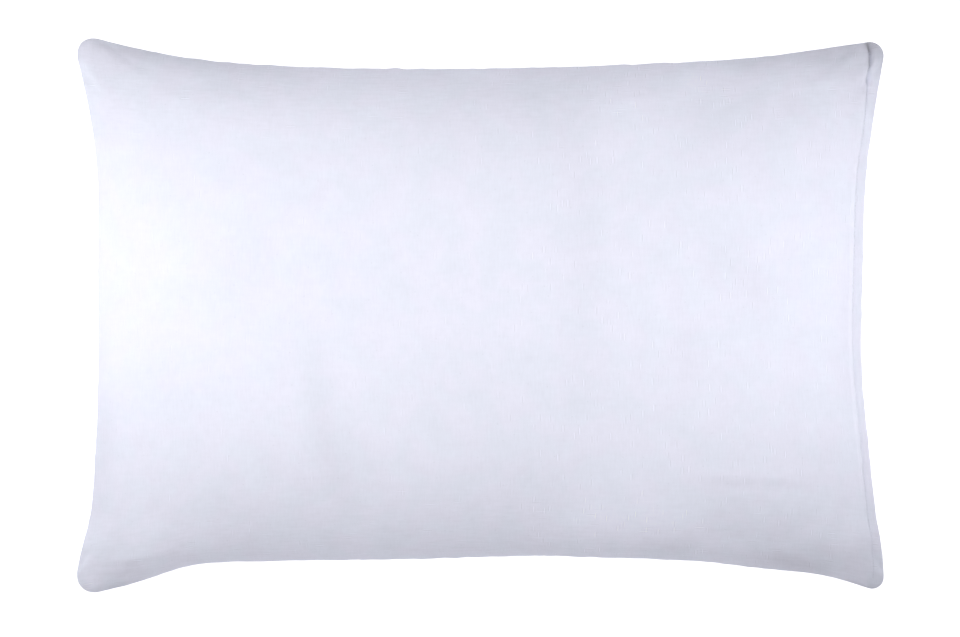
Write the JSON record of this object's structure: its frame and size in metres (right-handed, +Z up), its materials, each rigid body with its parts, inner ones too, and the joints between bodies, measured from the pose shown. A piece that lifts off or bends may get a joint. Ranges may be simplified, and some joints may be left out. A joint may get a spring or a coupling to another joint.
{
  "type": "pillow protector on a pillow",
  "caption": "Plain white cotton pillow protector, filled by its pillow, lying flat: crowned panels, drawn-in side seams, soft corners and a stitched hem at the closing end.",
  "frame": {"origin": "on the surface the bag lies on, under the middle of its corner-to-corner box", "axes": "+X along the length towards the closing end with the hem, +Y along the width, +Z up out of the front panel"},
  "size_m": [0.7246, 0.4978, 0.152],
  "materials": {
    "cotton": "matt plain-weave cotton, cool white with a lilac cast, fine slubs in both directions"
  },
  "bodies": {
    "root": {"cover": "cotton"}
  },
  "joints": []
}
